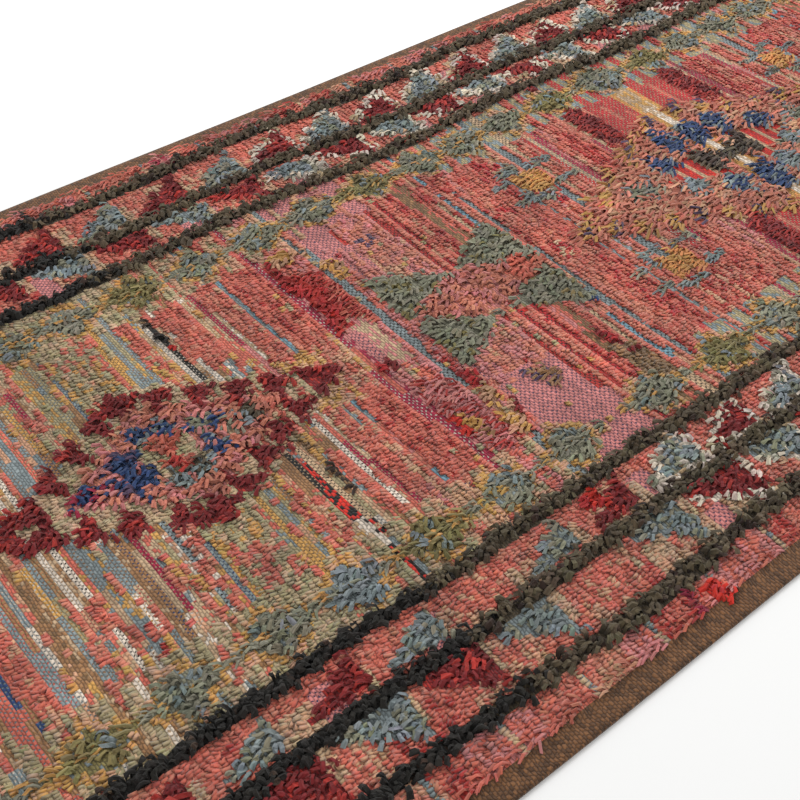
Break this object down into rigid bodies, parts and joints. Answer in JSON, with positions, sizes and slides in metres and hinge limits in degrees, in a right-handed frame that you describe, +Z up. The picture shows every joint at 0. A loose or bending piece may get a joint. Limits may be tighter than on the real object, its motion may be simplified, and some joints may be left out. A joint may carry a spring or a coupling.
{
  "type": "hand-knotted rug",
  "caption": "Long hand-knotted wool rug with striped woven ground, dark rows of rag pile, bordered triangles and a column of raised lozenge medallions, lying flat",
  "frame": {"origin": "centre of the rug's outline, at the height of the floor it lies on", "axes": "X across the rug from one selvage to the other, Y along the warps, Z up through the pile"},
  "size_m": [1.3, 3.16, 0.0227],
  "materials": {
    "wool_and_rag": "matte woven wool with clipped knots and taller rag pile"
  },
  "bodies": {
    "root": {"rug": "wool_and_rag"}
  },
  "joints": []
}
